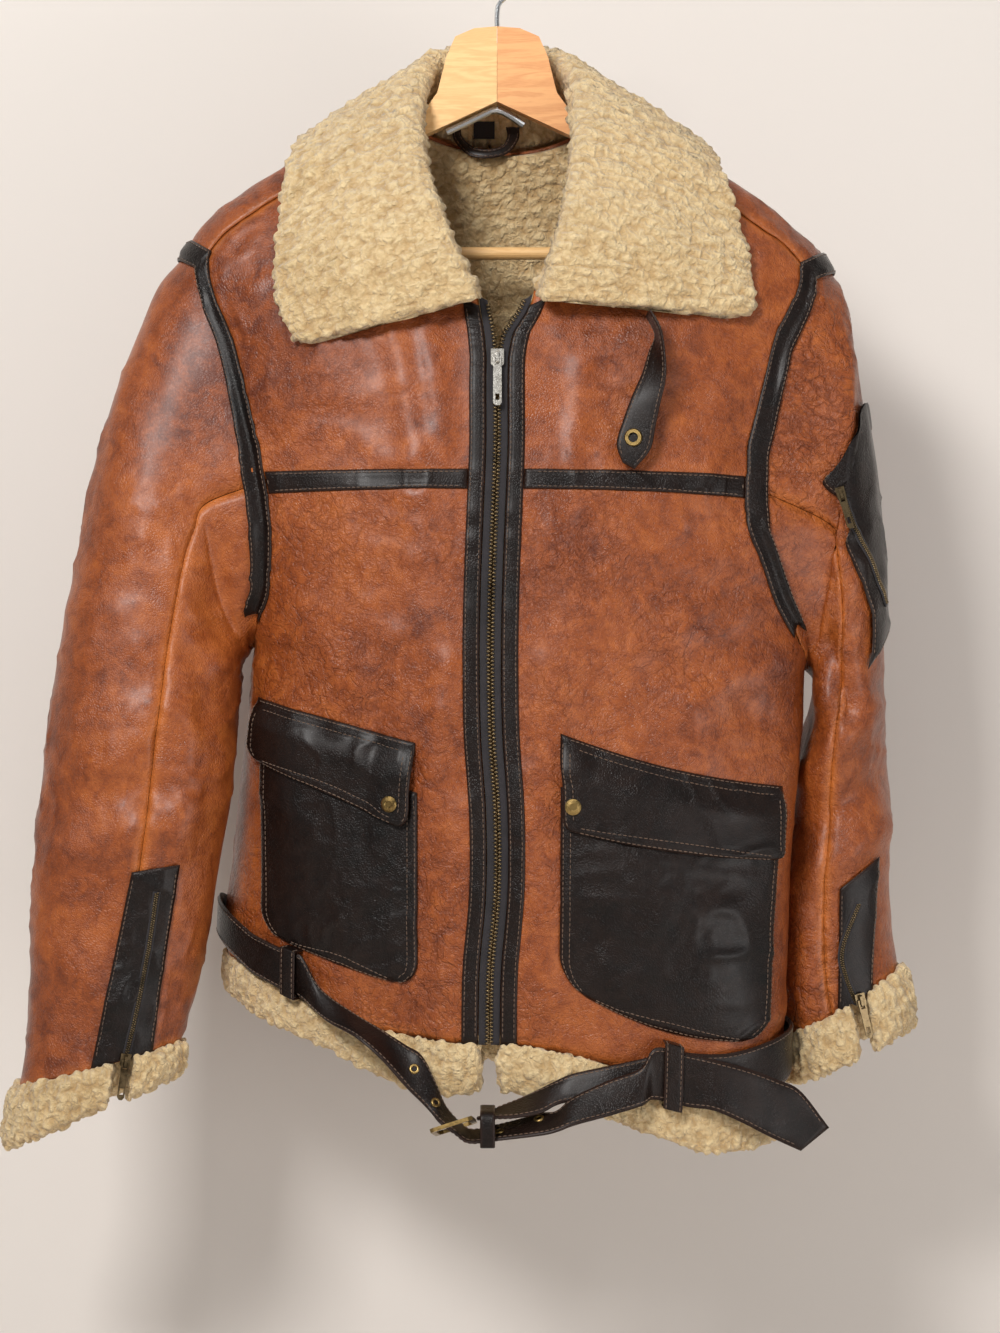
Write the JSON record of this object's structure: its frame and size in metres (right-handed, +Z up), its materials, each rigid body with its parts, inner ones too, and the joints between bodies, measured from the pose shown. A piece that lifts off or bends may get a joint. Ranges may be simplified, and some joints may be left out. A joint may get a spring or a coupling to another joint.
{
  "type": "sherpa-lined leather jacket on a wooden coat hanger",
  "caption": "Leather jacket with a sherpa collar, hem and cuffs, a loose belt, patch pockets and zips, hanging open-necked on a contoured wooden coat hanger.",
  "frame": {"origin": "inside top of the hanger's hook, where it rests on a rail", "axes": "+Z up, -Y the front of the jacket, +X to the right as seen from the front"},
  "size_m": [0.716, 0.2327, 0.9431],
  "materials": {
    "leather_tan": "mottled waxy pull-up leather",
    "leather_dark": "dark glossy creased leather",
    "sherpa": "curly cream pile",
    "zip_tape": "black woven tape with metal teeth",
    "brass": "antique brass",
    "nickel": "worn nickel",
    "wood": "clear varnish",
    "steel": "bright wire"
  },
  "bodies": {
    "jacket": {"front_left_lower": "leather_tan", "front_left_upper": "leather_tan", "front_right_lower": "leather_tan", "front_right_upper": "leather_tan", "back_panel": "leather_tan", "sleeve_left_outer": "leather_tan", "sleeve_left_under": "leather_tan", "sleeve_right_outer": "leather_tan", "sleeve_right_under": "leather_tan", "pocket_left": "leather_dark", "pocket_right": "leather_dark", "pocket_flap_left": "leather_dark", "pocket_flap_right": "leather_dark", "chest_strip_left": "leather_dark", "chest_strip_right": "leather_dark", "placket_strip_left": "leather_dark", "placket_strip_right": "leather_dark", "armhole_strip_left": "leather_dark", "armhole_strip_right": "leather_dark", "cuff_placket_left": "leather_dark", "cuff_placket_right": "leather_dark", "throat_strap": "leather_dark", "arm_pocket": "leather_dark", "belt_back": "leather_dark", "belt_free_run": "leather_dark", "belt_buckle_run": "leather_dark", "belt_loop_left": "leather_dark", "belt_loop_right": "leather_dark", "belt_keeper": "leather_dark", "hanging_loop": "leather_dark", "size_tab": "leather_dark", "sherpa_lining": "sherpa", "hem_sherpa": "sherpa", "cuff_sherpa_left": "sherpa", "cuff_sherpa_right": "sherpa", "collar": "sherpa", "front_zip_left": "zip_tape", "front_zip_right": "zip_tape", "snap_left": "brass", "snap_right": "brass", "throat_strap_eyelet": "brass", "cuff_zip_left": "brass", "cuff_zip_right": "brass", "cuff_zip_left_slider": "brass", "cuff_zip_right_slider": "brass", "arm_pocket_zip": "brass", "arm_pocket_slider": "brass", "belt_buckle": "brass", "front_zip_slider": "nickel", "hanger_left_arm": "wood", "hanger_right_arm": "wood", "hanger_bar": "wood", "hanger_hook": "steel", "hanger_brace": "steel"},
    "front_zip_pull": {"front_zip_pull": "nickel"},
    "cuff_zip_left_pull": {"cuff_zip_left_pull": "brass"},
    "cuff_zip_right_pull": {"cuff_zip_right_pull": "brass"},
    "arm_pocket_pull": {"arm_pocket_pull": "brass"}
  },
  "joints": [
    {"name": "front_zip_pull_hinge", "type": "hinge", "parent": "jacket", "child": "front_zip_pull", "pos_m": [0.0003, -0.09053, -0.32896], "axis": [-1, -0.0007, 0], "range_deg": [0, 150]},
    {"name": "cuff_zip_left_pull_hinge", "type": "hinge", "parent": "jacket", "child": "cuff_zip_left_pull", "pos_m": [-0.2833, -0.08086, -0.86543], "axis": [-0.9584, -0.2492, 0.139], "range_deg": [0, 150]},
    {"name": "cuff_zip_right_pull_hinge", "type": "hinge", "parent": "jacket", "child": "cuff_zip_right_pull", "pos_m": [0.28285, -0.04072, -0.82371], "axis": [-0.9514, -0.1907, -0.2419], "range_deg": [0, 150]},
    {"name": "arm_pocket_pull_hinge", "type": "hinge", "parent": "jacket", "child": "arm_pocket_pull", "pos_m": [0.26402, -0.06806, -0.43131], "axis": [-0.9597, 0.0546, -0.2755], "range_deg": [0, 150]}
  ]
}
